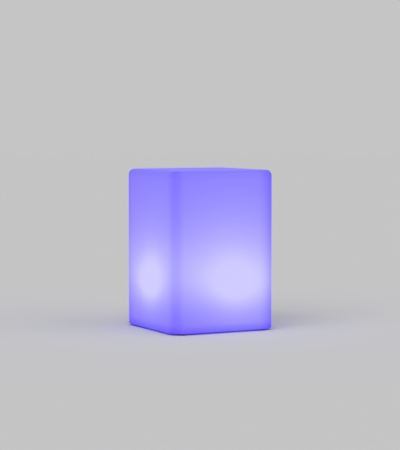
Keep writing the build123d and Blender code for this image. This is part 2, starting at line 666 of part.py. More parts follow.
def battery_lead(side):
    """Lead from one end of the cell, down its strip, round the can's corner and into the plug's top."""
    strip_x = side * (TAB_FACE_X + LEAD_DIAMETER / 2 + LEAD_TAB_GAP)
    pin_x = side * LEAD_SPACING / 2
    corner_y = -(CLAMP_OUTER_RADIUS + LEAD_DIAMETER)
    loop_level = CONNECTOR_TOP + LEAD_LOOP_HEIGHT
    return lead(
        (
            (strip_x, 0.0, CELL_LEVEL + TAB_HEIGHT / 2),
            (strip_x, 0.0, loop_level),
            (strip_x, corner_y, CONNECTOR_TOP + LEAD_CORNER_HEIGHT),
            (side * LEAD_TURN_X, -CONNECTOR_Y, loop_level),
            (pin_x, -CONNECTOR_Y, loop_level),
            (pin_x, -CONNECTOR_Y, CONNECTOR_TOP),
        )
    )


def battery_lead_red():
    return battery_lead(1)


def battery_lead_black():
    return battery_lead(-1)


def led_lead_places():
    first = LED_CONNECTOR_X - LEAD_SPACING * (LED_LEAD_COUNT - 1) / 2
    return [first + LEAD_SPACING * i for i in range(LED_LEAD_COUNT)]


def led_leads():
    """Row of wires from the board's plug up to the light board, bowed to leave some slack."""
    rise = PLATE_TOP - CONNECTOR_TOP
    wires = []
    for x in led_lead_places():
        points = (
            (x, CONNECTOR_Y, CONNECTOR_TOP),
            (x, CONNECTOR_Y, CONNECTOR_TOP + 0.25 * rise),
            (x, CONNECTOR_Y + LED_LEAD_BOW_DEPTH, CONNECTOR_TOP + 0.5 * rise),
            (x, CONNECTOR_Y, CONNECTOR_TOP + 0.75 * rise),
            (x, CONNECTOR_Y, PLATE_TOP),
        )
        wires.append(lead(points))
    return Compound(children=wires)


def lead_slot():
    """Slot through the housing's plate that the light board's wires pass."""
    width = LEAD_SPACING * (LED_LEAD_COUNT - 1) + LEAD_DIAMETER + 2 * LEAD_SLOT_CLEARANCE
    depth = LEAD_DIAMETER + 2 * LEAD_SLOT_CLEARANCE
    slot = block(width, depth, PLATE_BOTTOM, PLATE_TOP)
    return Pos(LED_CONNECTOR_X, CONNECTOR_Y, 0) * slot


def dome_seal_level():
    return (SHOULDER_LEVEL + PLATE_TOP) / 2


def module_housing():
    """Hat-shaped housing: brim, round wall, a step for the dome and a plate for the light board."""
    housing = disc(COVER_RADIUS, BRIM_BOTTOM, BRIM_TOP)
    housing += disc(MODULE_RADIUS, BRIM_BOTTOM, SHOULDER_LEVEL)
    housing += disc(STEP_RADIUS, BRIM_BOTTOM, PLATE_TOP)
    housing -= disc(HOUSING_INNER_RADIUS, BRIM_BOTTOM, SHOULDER_LEVEL - HOUSING_WALL)
    housing -= disc(STEP_INNER_RADIUS, BRIM_BOTTOM, PLATE_BOTTOM)
    boss = disc(CLAMP_BOSS_DIAMETER / 2, CLAMP_EAR_TOP, PLATE_BOTTOM) - pilot_hole(CLAMP_EAR_TOP, 1)
    for place in clamp_screw_places():
        housing += place * boss
    for place in base_screw_places():
        housing -= place * base_screw_hole(BRIM_BOTTOM, BRIM_TOP)
    for place in led_screw_places():
        housing -= place * pilot_hole(PLATE_TOP, -1)
    half_groove = DOME_SEAL_SECTION / 2 + RING_SEAL_CLEARANCE
    groove_floor = DOME_INNER_RADIUS - DOME_SEAL_SECTION - 2 * RING_SEAL_CLEARANCE
    middle = dome_seal_level()
    housing -= ring(STEP_RADIUS, groove_floor, middle - half_groove, middle + half_groove)
    return housing - lead_slot()


def dome_seal():
    """Ring seal between the housing's step and the dome's skirt."""
    section = DOME_SEAL_SECTION / 2
    seal = Torus(DOME_INNER_RADIUS - RING_SEAL_CLEARANCE - section, section)
    return Pos(0, 0, dome_seal_level()) * seal


def led_board():
    """Round light board, screwed flat on the housing's plate."""
    board = disc(LED_BOARD_RADIUS, PLATE_TOP, LED_BOARD_TOP)
    for place in led_screw_places():
        board -= place * small_screw_hole(PLATE_TOP, LED_BOARD_TOP)
    return board


def led_chips():
    """Square surface-mount lights, each with a shallow round window."""
    top = LED_BOARD_TOP + LED_HEIGHT
    chip = block(LED_WIDTH, LED_WIDTH, LED_BOARD_TOP, top)
    chip -= disc(LED_LENS_DIAMETER / 2, top - LED_LENS_DEPTH, top)
    return spread(chip, led_places())


def led_reflector():
    """White sheet on the light board, with windows for the lights and the screw heads."""
    top = LED_BOARD_TOP + REFLECTOR_THICKNESS
    sheet = disc(LED_BOARD_RADIUS - REFLECTOR_MARGIN, LED_BOARD_TOP, top)
    window = LED_WIDTH + 2 * REFLECTOR_CLEARANCE
    for place in led_places():
        sheet -= place * block(window, window, LED_BOARD_TOP, top)
    head_window = disc(SMALL_SCREW_HEAD_DIAMETER / 2 + REFLECTOR_CLEARANCE, LED_BOARD_TOP, top)
    for place in led_screw_places():
        sheet -= place * head_window
    return sheet


def led_screws():
    """Screws that hold the light board on the housing's plate."""
    screw = Pos(0, 0, LED_BOARD_TOP) * Rot(180, 0, 0) * small_screw(LED_BOARD_THICKNESS)
    return spread(screw, led_screw_places())


def light_dome():
    """Frosted cap with a round shoulder, standing on the housing's step."""
    outside = disc(MODULE_RADIUS, SHOULDER_LEVEL, DOME_TOP)
    outside = fillet(outside.edges().group_by(Axis.Z)[-1], DOME_EDGE_RADIUS)
    inside = disc(DOME_INNER_RADIUS, SHOULDER_LEVEL, DOME_TOP - DOME_WALL)
    inside = fillet(inside.edges().group_by(Axis.Z)[-1], DOME_EDGE_RADIUS - DOME_WALL)
    return outside - inside


PIECES = (
    shade_shell,
    foot_pads,
    insert_nuts,
    base_gasket,
    base_cover,
    base_screws,
    cover_gasket,
    power_button,
    button_o_ring,
    switch_plunger,
    push_switch,
    port_flap,
    charge_socket,
    charge_tongue,
    charge_led,
    charge_light_pipe,
    control_board,
    control_chips,
    board_screws,
    battery_cell,
    battery_sleeve,
    battery_tabs,
    battery_pad,
    battery_clamp,
    clamp_screws,
    battery_connector,
    battery_lead_red,
    battery_lead_black,
    led_connector,
    led_leads,
    module_housing,
    dome_seal,
    led_board,
    led_chips,
    led_reflector,
    led_screws,
    light_dome,
)

os.makedirs("parts", exist_ok=True)
for piece in PIECES:
    export_step(piece(), f"parts/{piece.__name__}.step")
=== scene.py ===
import math

import bpy
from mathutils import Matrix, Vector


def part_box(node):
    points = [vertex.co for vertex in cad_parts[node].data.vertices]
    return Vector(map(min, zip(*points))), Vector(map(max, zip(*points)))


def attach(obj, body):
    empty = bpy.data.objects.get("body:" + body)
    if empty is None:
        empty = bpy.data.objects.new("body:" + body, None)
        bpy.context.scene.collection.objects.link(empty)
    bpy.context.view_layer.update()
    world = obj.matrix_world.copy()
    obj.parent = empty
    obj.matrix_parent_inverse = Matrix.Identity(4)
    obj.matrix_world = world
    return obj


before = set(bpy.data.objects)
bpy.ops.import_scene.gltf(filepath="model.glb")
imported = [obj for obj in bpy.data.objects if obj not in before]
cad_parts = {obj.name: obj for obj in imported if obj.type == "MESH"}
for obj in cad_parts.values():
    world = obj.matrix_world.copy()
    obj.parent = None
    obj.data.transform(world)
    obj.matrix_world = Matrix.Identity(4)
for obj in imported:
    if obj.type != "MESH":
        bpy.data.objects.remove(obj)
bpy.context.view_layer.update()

# The shade is one rotation-moulded square prism of milky polyethylene, lit violet from inside.
# Its walls glow most in a round spot beside the light. Painted shade makes them darker at the foot
# and along the rounded upright edges, most along two opposite ones.


class Wire:
    """A value on its way through a material's nodes. Operators between wires add Math nodes."""

    def __init__(self, tree, socket=None):
        self.tree = tree
        self.socket = socket

    def node(self, kind, settings=None, sockets=None, out=0):
        """Adds any node: its type, then its settings, then the values or wires of its sockets."""
        made = self.tree.nodes.new("ShaderNode" + kind)
        for name, value in (settings or {}).items():
            setattr(made, name, value)
        for name, value in (sockets or {}).items():
            socket = made.inputs[name]
            if isinstance(value, Wire):
                self.tree.links.new(value.socket, socket)
            else:
                socket.default_value = (*value, 1.0) if socket.type == "RGBA" else value
        if isinstance(out, tuple):
            return [Wire(self.tree, made.outputs[place]) for place in out]
        return Wire(self.tree, made.outputs[out]) if made.outputs else None

    def math(self, operation, *others):
        return self.node("Math", {"operation": operation}, dict(enumerate((self, *others))))

    def __add__(self, other):
        return self.math("ADD", other)

    __radd__ = __add__

    def __sub__(self, other):
        return self.math("SUBTRACT", other)

    def __rsub__(self, other):
        return self.node("Math", {"operation": "SUBTRACT"}, {0: other, 1: self})

    def __mul__(self, other):
        return self.math("MULTIPLY", other)

    __rmul__ = __mul__

    def __rtruediv__(self, other):
        return self.node("Math", {"operation": "DIVIDE"}, {0: other, 1: self})

    def __abs__(self):
        return self.math("ABSOLUTE")


def start_material(name):
    """A new material, and the Object coordinates that its pattern is drawn on."""
    material = bpy.data.materials.new(name)
    material.use_nodes = True
    material.node_tree.nodes.clear()
    return material, Wire(material.node_tree).node("TexCoord", out="Object")


def close_material(at, sockets):
    """The surface shader with the values or wires of its sockets, and the material's output."""
    at.node("OutputMaterial", sockets={"Surface": at.node("BsdfPrincipled", sockets=sockets)})


def dress(material, *names):
    """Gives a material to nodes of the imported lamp."""
    for name in names:
        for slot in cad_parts[name].material_slots:
            slot.material = material


def millimetres(at):
    """The coordinates along X, Y and Z, in millimetres."""
    return [part * 1000.0 for part in at.node("SeparateXYZ", sockets={0: at}, out=(0, 1, 2))]


def rise(value, low, high):
    """0 up to low, 1 from high on, and a smooth rise between them."""
    ends = {"From Min": low, "From Max": high, "To Min": 0.0, "To Max": 1.0}
    return value.node("MapRange", {"interpolation_type": "SMOOTHSTEP"}, {"Value": value, **ends})


def grain(at, size, detail=2.0):
    """Random pattern from 0 to 1, with spots of about a size in millimetres."""
    return at.node("TexNoise", sockets={"Vector": at, "Scale": 1000.0 / size, "Detail": detail})


def relief(height, depth):
    """Normals of a surface whose height, from 0 to 1, covers a depth in millimetres."""
    scale = {"Strength": 1.0, "Distance": depth / 1000.0}
    return height.node("Bump", sockets={"Height": height, **scale})


light_x, light_y, light_z, light_lean = 9.3, -3.9, 40.7, 0.0707
spot_glow, spot_size, spot_height_share = 1.84, 12.76, 1.292
haze_x, haze_y, haze_glow = 14.0, -17.0, 0.239
haze_size, haze_start = 77.4, 40.0
even_glow, brightest, brightest_blend = 0.117, 0.606, 0.42
edge_start, corner_shade_start, edge_end = 38.6, 29.9, 46.5
edge_dimming, edge_top_dimming, corner_shade_dimming = 0.180, 0.1, 0.244
top_start, top_end, top_dimming = 132.3, 142.0, 0.258
foot_end, foot_dimming = 75.7, 0.367
rim_start, rim_end, rim_dimming = 1.5, 9.7, 0.373
cloud_size, cloud_change = 22.0, 0.03
skin_size, skin_change, skin_depth = 1.6, 0.02, 0.012
red_share, lowest_red = 0.98, 0.049
full_blue, blue_loss, blue_loss_end = 0.80, 3.0, 0.16
studio_red, studio_green = 0.094, 0.081  # what the plain studio light adds to the glow
shade_violet = (0.10, 0.085, 0.32)

glowing_shade, at = start_material("glowing_shade")
x, y, z = millimetres(at)
off_x, off_y = x - light_x, y - light_y
off_z = z - light_z + light_lean * (x + y)
beside = off_x * off_x + off_y * off_y
crossing = off_x * off_y
above = spot_height_share * off_z
spot = spot_size ** 2 / (crossing * crossing * (1.0 / beside) + above * above + spot_size ** 2)
away_x, away_y = x - haze_x, y - haze_y
beyond = away_x * away_x + away_y * away_y + off_z * off_z
beyond = (beyond - haze_start ** 2).math("MAXIMUM", 0.0)
haze = haze_size ** 2 / (beyond + haze_size ** 2)
# Painted shade: the glow dims along the rounded upright edges, more on the two opposite ones where x
# and y differ in sign, and near the top, at the foot and at the rim.
nearer_edge = abs(x).math("MINIMUM", abs(y))
upright_edge = rise(nearer_edge, edge_start, edge_end)
painted_corner_shade = rise(nearer_edge, corner_shade_start, edge_end) * (x * y).math("LESS_THAN", 0.0)
near_top = rise(z, top_start, top_end)
foot = 1.0 - rise(z, 0.0, foot_end)
rim = 1.0 - rise(z, rim_start, rim_end)
cloud, skin = grain(at, cloud_size, 1.0), grain(at, skin_size, 3.0)
patches = 1.0 + cloud_change * (cloud - 0.5) + skin_change * (skin - 0.5)
glow = spot_glow * spot + haze_glow * haze + even_glow
glow = glow * (1.0 - (edge_dimming + edge_top_dimming * near_top) * upright_edge)
glow = glow * (1.0 - corner_shade_dimming * painted_corner_shade) * (1.0 - top_dimming * near_top)
glow = glow * (1.0 - foot_dimming * foot) * (1.0 - rim_dimming * rim)
glow = glow.math("SMOOTH_MIN", brightest, brightest_blend) * patches
red = red_share * glow + (lowest_red - studio_red)
green = glow - studio_green
blue = full_blue - blue_loss * (blue_loss_end - glow).math("MAXIMUM", 0.0)
close_material(
    at,
    {
        "Base Color": shade_violet,
        "Roughness": 0.46 + 0.08 * skin,
        "Specular IOR Level": 0.2,
        "Emission Color": at.node("CombineColor", sockets={0: red, 1: green, 2: blue}),
        "Emission Strength": 1.0,
        "Normal": relief(skin, skin_depth),
    },
)
dress(glowing_shade, "shade_shell")

# Four brass threads sit in bosses of the shade's floor, for the screws from below.
# They are turned from bar and knurled on the outside, so that the moulded plastic grips them.


def between(share, first, second):
    """Colour between two others, by a share from 0 to 1."""
    return share.node("Mix", {"data_type": "RGBA"}, {0: share, 6: first, 7: second}, out=2)


def reach(x, y):
    """Distance from the upright axis that two offsets are measured from."""
    return (x * x + y * y).math("SQRT")


insert_offset = 25.5
knurl_count, knurl_climb, knurl_depth = 24.0, 6.0, 0.12
knurled_brass, at = start_material("knurled_brass")
x, y, z = millimetres(at)
across, along = abs(x) - insert_offset, abs(y) - insert_offset
turn, climb = knurl_count * along.math("ARCTAN2", across), knurl_climb * z
knurl = (turn + climb).math("SINE") * (turn - climb).math("SINE")
tarnish = grain(at, 1.5)
close_material(
    at,
    {
        "Base Color": between(tarnish, (0.74, 0.53, 0.24), (0.60, 0.41, 0.19)),
        "Metallic": 1.0,
        "Roughness": 0.26 + 0.14 * tarnish,
        "Normal": relief(knurl, knurl_depth),
    },
)
dress(knurled_brass, "insert_nuts")

# Four soft feet are pressed into shallow sockets at the corners of the shade's floor.
# They are pressed from grey silicone, with a matt skin that picks up dust on the sole.
sole_level, sole_dust_end = 0.05, 0.6
foot_silicone, at = start_material("foot_silicone")
z = millimetres(at)[2]
mottle = grain(at, 2.5)
pores = grain(at, 0.35, 1.0)
dust = (1.0 - rise(z, sole_level, sole_dust_end)) * rise(mottle, 0.3, 0.8)
close_material(
    at,
    {
        "Base Color": between(dust, (0.36, 0.36, 0.38), (0.43, 0.425, 0.42)),
        "Roughness": 0.68 + 0.2 * mottle,
        "Specular IOR Level": 0.3,
        "Normal": relief(pores, 0.03),
    },
)
dress(foot_silicone, "foot_pads")

# The housing is the hat-shaped white moulding that carries the light and hides the battery.
# It is moulded in tough white plastic with a fine spark texture, which the battery's clamp shares.
white_moulding, at = start_material("white_moulding")
spark = grain(at, 0.45, 2.0)
flow = grain(at, 14.0, 1.0)
close_material(
    at,
    {
        "Base Color": between(flow, (0.80, 0.80, 0.79), (0.74, 0.74, 0.735)),
        "Roughness": 0.48 + 0.16 * spark,
        "Specular IOR Level": 0.4,
        "Normal": relief(spark, 0.04),
    },
)
dress(white_moulding, "module_housing", "battery_clamp")

# The light board is a round aluminium board under a white lacquer, screwed to the housing's plate.
# Its copper tracks run in two rings below the lights and show as low steps in the lacquer.


def inside(value, middle, half, edge):
    """1 within half a width of the middle, and 0 beyond a soft edge."""
    return 1.0 - rise(abs(value - middle), half, half + edge)


outer_ring, inner_ring = 18.5, 7.0
outer_track_half, inner_track_half, track_edge = 3.0, 2.6, 0.2
white_board, at = start_material("white_board")
x, y, z = millimetres(at)
radius = reach(x, y)
outer_track = inside(radius, outer_ring, outer_track_half, track_edge)
inner_track = inside(radius, inner_ring, inner_track_half, track_edge)
track = outer_track.math("MAXIMUM", inner_track)
lacquer = grain(at, 0.8)
close_material(
    at,
    {
        "Base Color": between(track, (0.80, 0.80, 0.78), (0.72, 0.72, 0.69)),
        "Roughness": 0.32 + 0.12 * lacquer,
        "Normal": relief(track + 0.2 * lacquer, 0.05),
    },
)
dress(white_board, "led_board")

# Sixteen square lights are soldered to the board, twelve in an outer ring and four inside it.
# Each is a cream plastic case whose round well is filled with a low dome of clear gel.
case_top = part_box("led_chips")[1].z
light_case, at = start_material("light_case")
z = millimetres(at)[2]
well = rise(case_top * 1000.0 - z, 0.1, 0.25)
speckle = grain(at, 0.5)
close_material(
    at,
    {
        "Base Color": between(speckle, (0.80, 0.77, 0.68), (0.70, 0.67, 0.58)),
        "Roughness": 0.34 + 0.2 * well,
        "Normal": relief(speckle, 0.02),
    },
)
dress(light_case, "led_chips")

gel_radius, gel_height, gel_sink = 0.00195, 0.0004, 0.0003
crease_angle = math.radians(40.0)
outer_lights = [(outer_ring, 30.0 * place) for place in range(12)]
inner_lights = [(inner_ring, 45.0 + 90.0 * place) for place in range(4)]
light_places = outer_lights + inner_lights
gel_level = case_top - gel_sink
bpy.ops.object.select_all(action="DESELECT")
bpy.ops.mesh.primitive_uv_sphere_add(
    segments=24, ring_count=12, radius=gel_radius, location=(0, 0, 0)
)
light_gel = bpy.context.object
light_gel.name = "light_gel"
bpy.ops.object.mode_set(mode="EDIT")
bpy.ops.mesh.select_all(action="SELECT")
bpy.ops.mesh.bisect(plane_co=(0, 0, 0), plane_no=(0, 0, 1), use_fill=True, clear_inner=True)
bpy.ops.mesh.select_all(action="SELECT")
bpy.ops.transform.resize(value=(1.0, 1.0, gel_height / gel_radius), center_override=(0, 0, 0))
bpy.ops.object.mode_set(mode="OBJECT")
bpy.ops.object.shade_smooth_by_angle(angle=crease_angle)
gels = [light_gel]
for _ in light_places[1:]:
    bpy.ops.object.duplicate(linked=False)
    gels.append(bpy.context.object)
for gel, (ring_radius, angle) in zip(gels, light_places):
    gel_x = ring_radius / 1000.0 * math.cos(math.radians(angle))
    gel_y = ring_radius / 1000.0 * math.sin(math.radians(angle))
    gel.location = (gel_x, gel_y, gel_level)
    gel.select_set(True)
bpy.context.view_layer.objects.active = light_gel
bpy.ops.object.join()
bpy.ops.object.transform_apply(location=True, rotation=True, scale=True)
lit_gel, at = start_material("lit_gel")
height = millimetres(at)[2] - gel_level * 1000.0
close_material(
    at,
    {
        "Base Color": (0.30, 0.29, 0.34),
        "Roughness": 0.12 + 0.1 * grain(at, 0.7),
        "Emission Color": between(rise(height, 0.1, 0.4), (0.16, 0.12, 0.60), (0.46, 0.42, 0.66)),
        "Emission Strength": 1.0,
    },
)
light_gel.data.materials.append(lit_gel)
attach(light_gel, "lamp")

# A white sheet lies on the light board and throws stray light up, with windows for the lights.
# It is punched from foamed polyester film, so its face is matt and very finely pitted.
reflector_film, at = start_material("reflector_film")
pits = grain(at, 0.3, 1.0)
close_material(
    at,
    {
        "Base Color": between(grain(at, 6.0), (0.88, 0.88, 0.88), (0.82, 0.82, 0.83)),
        "Roughness": 0.6 + 0.2 * pits,
        "Normal": relief(pits, 0.02),
    },
)
dress(reflector_film, "led_reflector")

# A frosted dome covers the lights and stands on the housing's step, over a ring seal.
# It is moulded in diffusing polycarbonate, bright above the two rings of lights and dimmer outside.
lit_radius, lit_half, lit_edge = 13.0, 6.0, 14.0
dome_foot, dome_shoulder = 38.0, 50.0
frosted_dome, at = start_material("frosted_dome")
x, y, z = millimetres(at)
lit = inside(reach(x, y), lit_radius, lit_half, lit_edge) * rise(z, dome_foot, dome_shoulder)
frost = grain(at, 0.6, 2.0)
close_material(
    at,
    {
        "Base Color": (0.34, 0.33, 0.42),
        "Roughness": 0.5 + 0.2 * frost,
        "Emission Color": between(lit, (0.07, 0.05, 0.42), (0.36, 0.33, 0.60)),
        "Emission Strength": 1.0,
        "Normal": relief(frost, 0.02),
    },
)
dress(frosted_dome, "light_dome")

# All seals are silicone: two flat rings clamped by the base screws, a ring seal under the dome
# and one on the button. They are pressed in one tool each, and their skin is dull and dark grey.
seal_silicone, at = start_material("seal_silicone")
mottle = grain(at, 1.8)
close_material(
    at,
    {
        "Base Color": between(mottle, (0.13, 0.13, 0.14), (0.19, 0.19, 0.20)),
        "Roughness": 0.6 + 0.25 * mottle,
        "Specular IOR Level": 0.3,
        "Normal": relief(grain(at, 0.25, 1.0), 0.03),
    },
)
dress(seal_silicone, "base_gasket", "cover_gasket", "dome_seal", "button_o_ring")

# The battery is one nickel-plated steel cell across the housing, turned bright at its ends.
# Welded nickel strips take the current off both ends; each has four small dents from the welder.
cell_level = 24.97
lathe_rate = 30.0
bright_can, at = start_material("bright_can")
x, y, z = millimetres(at)
turned = (lathe_rate * reach(y, z - cell_level)).math("SINE")
close_material(
    at,
    {
        "Base Color": between(grain(at, 3.0), (0.66, 0.65, 0.62), (0.56, 0.55, 0.53)),
        "Metallic": 1.0,
        "Roughness": 0.24 + 0.1 * grain(at, 1.0),
        "Normal": relief(turned, 0.01),
    },
)
dress(bright_can, "battery_cell")

dent_y, dent_z = 1.3, 2.0
welded_strip, at = start_material("welded_strip")
x, y, z = millimetres(at)
flat = rise(reach(abs(y) - dent_y, abs(z - cell_level) - dent_z), 0.25, 0.65)
close_material(
    at,
    {
        "Base Color": between(flat, (0.40, 0.37, 0.33), (0.68, 0.66, 0.62)),
        "Metallic": 1.0,
        "Roughness": 0.3 + 0.12 * grain(at, 0.8),
        "Normal": relief(flat, 0.12),
    },
)
dress(welded_strip, "battery_tabs")

# The cell's sleeve is a plain blue film shrunk over it, drawn round the rim of both ends.
# It is glossy along the cell and puckered in fine pleats where it turns in at the ends.
pleat_count, pleat_start, pleat_end = 60.0, 21.5, 24.5
shrunk_film, at = start_material("shrunk_film")
x, y, z = millimetres(at)
pleat = (pleat_count * y.math("ARCTAN2", z - cell_level)).math("SINE")
pleat = pleat * rise(abs(x), pleat_start, pleat_end)
ripple = grain(at.node("Mapping", sockets={"Vector": at, "Scale": (0.15, 1.0, 1.0)}), 1.2)
close_material(
    at,
    {
        "Base Color": between(grain(at, 9.0), (0.05, 0.17, 0.42), (0.07, 0.22, 0.50)),
        "Roughness": 0.22 + 0.1 * ripple,
        "Coat Weight": 0.3,
        "Normal": relief(pleat + 0.6 * ripple, 0.05),
    },
)
dress(shrunk_film, "battery_sleeve")

# A strip of black foam keeps the cell from rattling against the housing's plate.
# It is cut from open foam, so its faces are full of small holes, whose pits are painted darker as
# painted shade.
holes_per_metre = 1400.0
open_foam, at = start_material("open_foam")
holes = at.node("TexVoronoi", sockets={"Vector": at, "Scale": holes_per_metre}, out="Distance")
close_material(
    at,
    {
        "Base Color": between(holes, (0.02, 0.02, 0.02), (0.09, 0.09, 0.09)),
        "Roughness": 0.95,
        "Specular IOR Level": 0.1,
        "Normal": relief(holes, 0.25),
    },
)
dress(open_foam, "battery_pad")

# Two plugs on the control board take the leads of the battery and of the light board.
# They are nylon in its natural ivory, with a shallow groove for each of their contacts; the grooves
# are painted darker as painted shade.
groove_step = 2.0
plug_nylon, at = start_material("plug_nylon")
x, y, z = millimetres(at)
ridge = rise((2.0 * math.pi / groove_step * x).math("SINE"), -0.9, -0.5)
close_material(
    at,
    {
        "Base Color": between(ridge, (0.60, 0.58, 0.50), (0.78, 0.75, 0.66)),
        "Roughness": 0.5 + 0.12 * grain(at, 0.7),
        "Specular IOR Level": 0.4,
        "Normal": relief(ridge, 0.15),
    },
)
dress(plug_nylon, "battery_connector", "led_connector")

# The leads are stranded copper in soft coloured insulation, red and black to the battery.
# Four white ones feed the light board; the extruded skin is smooth and dulled by handling.


def insulation(name, colour, worn):
    """Extruded lead skin of one colour, a little lighter where it was handled."""
    material, at = start_material(name)
    handled = grain(at, 3.5)
    close_material(
        at,
        {
            "Base Color": between(rise(handled, 0.45, 0.75), colour, worn),
            "Roughness": 0.32 + 0.18 * handled,
            "Normal": relief(grain(at, 0.4, 1.0), 0.01),
        },
    )
    return material


red_insulation = insulation("red_insulation", (0.46, 0.025, 0.02), (0.55, 0.06, 0.05))
black_insulation = insulation("black_insulation", (0.018, 0.018, 0.018), (0.035, 0.035, 0.035))
white_insulation = insulation("white_insulation", (0.74, 0.74, 0.72), (0.66, 0.65, 0.62))
dress(red_insulation, "battery_lead_red")
dress(black_insulation, "battery_lead_black")
dress(white_insulation, "led_leads")

# The control board is a round fibreglass board under green lacquer, on three posts of the cover.
# Its copper tracks shine through the lacquer, and bare tinned rings surround the screw holes.
board_screw_radius, tinned_radius = 23.07, 2.6
track_rate = 5.2
green_board, at = start_material("green_board")
x, y, z = millimetres(at)
lengthwise = rise((track_rate * x).math("SINE"), 0.5, 0.7)
crosswise = rise((track_rate * y).math("SINE"), 0.5, 0.7)
route = rise(grain(at, 7.0, 0.0), 0.49, 0.51)
track = route * lengthwise + (1.0 - route) * crosswise
screws = []
for angle in (90.0, 210.0, 330.0):
    screw_x = board_screw_radius * math.cos(math.radians(angle))
    screw_y = board_screw_radius * math.sin(math.radians(angle))
    screws.append(reach(x - screw_x, y - screw_y))
nearest_screw = screws[0].math("MINIMUM", screws[1]).math("MINIMUM", screws[2])
tinned = 1.0 - rise(nearest_screw, tinned_radius, tinned_radius + 0.1)
lacquer = between(track, (0.012, 0.10, 0.035), (0.03, 0.19, 0.06))
close_material(
    at,
    {
        "Base Color": between(tinned, lacquer, (0.62, 0.61, 0.58)),
        "Metallic": tinned,
        "Roughness": 0.28 + 0.1 * grain(at, 0.8),
        "Normal": relief(track, 0.04),
    },
)
dress(green_board, "control_board")

# The board's parts are a controller, a charger, a coil and two capacitors, all soldered flat.
# The chips are black epoxy with a dimple at their first leg, the coil is grey ferrite, and the
# capacitors are brown ceramic with tinned ends.
coil_x, coil_y, coil_half = -14.0, 13.0, 3.1
front_cap_x, front_cap_y = -9.0, -1.8
left_cap_x, left_cap_y = -14.3, 3.0
cap_half_length, cap_half_width, cap_brown_half = 1.7, 0.9, 1.1
controller_dimple_x, controller_dimple_y, controller_dimple = 6.0, -4.0, 0.4
charger_dimple_x, charger_dimple_y, charger_dimple = -10.8, 1.7, 0.3
sharp = 0.02
chip_bodies, at = start_material("chip_bodies")
x, y, z = millimetres(at)
coil = inside(x, coil_x, coil_half, sharp) * inside(y, coil_y, coil_half, sharp)
front_cap = inside(x, front_cap_x, cap_half_length, sharp)
front_cap = front_cap * inside(y, front_cap_y, cap_half_width, sharp)
left_cap = inside(x, left_cap_x, cap_half_width, sharp)
left_cap = left_cap * inside(y, left_cap_y, cap_half_length, sharp)
front_end = rise(abs(x - front_cap_x), cap_brown_half, cap_brown_half + 0.05)
left_end = rise(abs(y - left_cap_y), cap_brown_half, cap_brown_half + 0.05)
ends = front_cap * front_end + left_cap * left_end
from_controller = reach(x - controller_dimple_x, y - controller_dimple_y)
from_charger = reach(x - charger_dimple_x, y - charger_dimple_y)
level = rise(from_controller, controller_dimple, controller_dimple + 0.1)
level = level * rise(from_charger, charger_dimple, charger_dimple + 0.1)
epoxy = between(grain(at, 0.5), (0.022, 0.022, 0.024), (0.038, 0.038, 0.040))
colour = between(coil, epoxy, (0.10, 0.10, 0.105))
colour = between(front_cap + left_cap, colour, (0.33, 0.22, 0.13))
close_material(
    at,
    {
        "Base Color": between(ends, colour, (0.66, 0.65, 0.62)),
        "Metallic": ends,
        "Roughness": 0.5 + 0.15 * grain(at, 0.5),
        "Normal": relief(level + 0.05 * grain(at, 0.3), 0.15),
    },
)
dress(chip_bodies, "control_chips")

# The legs of the two chips are stamped from tinned copper strip and bent down to the board.
# One leg is shaped and repeated along each chip, and the row is copied to the chip's other side.


def start_block(name, place, size):
    """A block in metres, by its middle and its three sizes, with its place in its mesh."""
    bpy.ops.object.select_all(action="DESELECT")
    bpy.ops.mesh.primitive_cube_add(size=1.0, location=place, scale=size)
    piece = bpy.context.object
    piece.name = name
    bpy.ops.object.transform_apply(location=True, rotation=True, scale=True)
    return piece


def pick_faces(piece, test):
    """Selects, in edit mode, the faces of a piece that pass a test."""
    bpy.ops.object.mode_set(mode="EDIT")
    bpy.ops.mesh.select_mode(type="FACE")
    bpy.ops.mesh.select_all(action="DESELECT")
    bpy.ops.object.mode_set(mode="OBJECT")
    for face in piece.data.polygons:
        face.select = test(face)
    bpy.ops.object.mode_set(mode="EDIT")


def round_edges(radius, segments):
    """Rounds all edges of the piece in hand."""
    bpy.ops.object.mode_set(mode="EDIT")
    bpy.ops.mesh.select_all(action="SELECT")
    bpy.ops.mesh.bevel(offset=radius, segments=segments, affect="EDGES")
    bpy.ops.object.mode_set(mode="OBJECT")


def repeat(piece, count, step):
    """Copies a piece in a row, and keeps the copies in its mesh."""
    row = piece.modifiers.new("row", "ARRAY")
    row.count = count
    row.use_relative_offset = False
    row.use_constant_offset = True
    row.constant_offset_displace = step
    bpy.ops.object.modifier_apply(modifier=row.name)


def copy_across(middle):
    """Copies the piece in hand to the other side of an upright axis, in its mesh."""
    bpy.ops.object.mode_set(mode="EDIT")
    bpy.ops.mesh.select_all(action="SELECT")
    bpy.ops.mesh.duplicate()
    bpy.ops.transform.rotate(value=math.pi, orient_axis="Z", center_override=middle)
    bpy.ops.object.mode_set(mode="OBJECT")


leg_width, leg_thickness, leg_step, leg_edge = 0.00042, 0.00016, 0.00127, 0.00003
leg_root, leg_root_out, leg_rise = 0.0004, 0.0001, 0.0008
leg_bends = ((-0.00035, -0.00063), (-0.0005, -0.0001))
leg_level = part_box("control_board")[1].z + leg_rise


